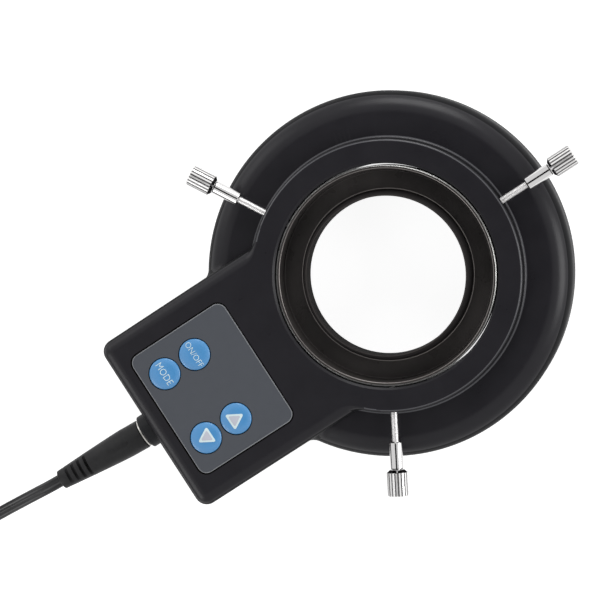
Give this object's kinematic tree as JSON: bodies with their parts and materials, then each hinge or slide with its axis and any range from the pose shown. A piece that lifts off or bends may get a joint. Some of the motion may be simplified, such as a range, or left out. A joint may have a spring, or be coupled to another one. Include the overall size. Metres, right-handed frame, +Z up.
{
  "type": "led ring light",
  "caption": "Microscope ring light with a clamp collar, knurled thumbscrews, adapter ring, control box with push buttons, and a coiled cord to its plug-in supply.",
  "frame": {"origin": "on the resting face, under the middle of the light without its cord", "axes": "+Z up out of the resting face, -Y along the control box towards the supply socket, +X to the side of the up and down buttons"},
  "size_m": [0.1094, 0.2886, 0.043],
  "materials": {
    "housing_plastic": "bluish black moulded plastic, satin",
    "adapter_black": "turned and anodised black",
    "window_plastic": "clear",
    "circuit_board": "solder mask",
    "label_film": "printed film, satin",
    "button_blue": "soft satin",
    "nickel": "nickel plated",
    "insert_brass": "knurled and pressed in",
    "screw_steel": "zinc plated",
    "component_black": "moulded",
    "supply_plastic": "fine texture",
    "cord_vinyl": "soft vinyl, satin"
  },
  "bodies": {
    "light": {"ring_housing": "housing_plastic", "led_window": "window_plastic", "led_board": "circuit_board", "led_board_screw_1": "screw_steel", "led_board_screw_2": "screw_steel", "led_board_screw_3": "screw_steel", "adapter_ring": "adapter_black", "keypad_label": "label_film", "switch_on_off": "screw_steel", "switch_mode": "screw_steel", "switch_up": "screw_steel", "switch_down": "screw_steel", "control_board": "circuit_board", "control_screw_1": "screw_steel", "control_screw_2": "screw_steel", "driver_chip": "component_black", "capacitor": "component_black", "dc_jack": "component_black", "jack_nut": "component_black", "led_lead": "cord_vinyl", "box_cover": "housing_plastic", "cover_screw_1": "screw_steel", "cover_screw_2": "screw_steel", "cover_screw_3": "screw_steel", "cover_screw_4": "screw_steel", "screw_insert_1": "insert_brass", "screw_insert_2": "insert_brass", "screw_insert_3": "insert_brass", "plug_barrel": "nickel", "plug_body": "cord_vinyl", "cord_free": "cord_vinyl", "cord_coil": "cord_vinyl", "cord_tail": "cord_vinyl", "coil_tie": "cord_vinyl", "supply_base": "supply_plastic", "supply_cover": "supply_plastic", "supply_relief": "cord_vinyl", "supply_blade_left": "nickel", "supply_blade_right": "nickel"},
    "on_off_key": {"button_on_off": "button_blue", "plunger_on_off": "component_black"},
    "mode_key": {"button_mode": "button_blue", "plunger_mode": "component_black"},
    "up_key": {"button_up": "button_blue", "plunger_up": "component_black"},
    "down_key": {"button_down": "button_blue", "plunger_down": "component_black"},
    "shaft_1": {"screw_shaft_1": "nickel"},
    "shaft_2": {"screw_shaft_2": "nickel"},
    "shaft_3": {"screw_shaft_3": "nickel"},
    "knob_1": {"screw_knob_1": "nickel"},
    "knob_2": {"screw_knob_2": "nickel"},
    "knob_3": {"screw_knob_3": "nickel"}
  },
  "joints": [
    {"name": "on_off_press", "type": "slide", "parent": "light", "child": "on_off_key", "axis": [0, 0, -1], "range_m": [0, 0.0005], "stiffness_N_per_m": 1500},
    {"name": "mode_press", "type": "slide", "parent": "light", "child": "mode_key", "axis": [0, 0, -1], "range_m": [0, 0.0005], "stiffness_N_per_m": 1500},
    {"name": "up_press", "type": "slide", "parent": "light", "child": "up_key", "axis": [0, 0, -1], "range_m": [0, 0.0005], "stiffness_N_per_m": 1500},
    {"name": "down_press", "type": "slide", "parent": "light", "child": "down_key", "axis": [0, 0, -1], "range_m": [0, 0.0005], "stiffness_N_per_m": 1500},
    {"name": "screw_1_travel", "type": "slide", "parent": "light", "child": "shaft_1", "axis": [0, 1, 0], "range_m": [0, 0.005]},
    {"name": "screw_2_travel", "type": "slide", "parent": "light", "child": "shaft_2", "axis": [-0.866, -0.5, 0], "range_m": [0, 0.005]},
    {"name": "screw_3_travel", "type": "slide", "parent": "light", "child": "shaft_3", "axis": [0.866, -0.5, 0], "range_m": [0, 0.005]},
    {"name": "screw_1_turn", "type": "hinge", "parent": "shaft_1", "child": "knob_1", "pos_m": [0, 0.0685, 0.0215], "axis": [0, 1, 0], "range_deg": [0, 4500]},
    {"name": "screw_2_turn", "type": "hinge", "parent": "shaft_2", "child": "knob_2", "pos_m": [-0.05014, -0.01835, 0.0215], "axis": [-0.866, -0.5, 0], "range_deg": [0, 4500]},
    {"name": "screw_3_turn", "type": "hinge", "parent": "shaft_3", "child": "knob_3", "pos_m": [0.05014, -0.01835, 0.0215], "axis": [0.866, -0.5, 0], "range_deg": [0, 4500]}
  ],
  "couplings": [
    {"joint": "screw_1_turn", "follows": "screw_1_travel", "rad_per_m": 15708},
    {"joint": "screw_2_turn", "follows": "screw_2_travel", "rad_per_m": 15708},
    {"joint": "screw_3_turn", "follows": "screw_3_travel", "rad_per_m": 15708}
  ]
}
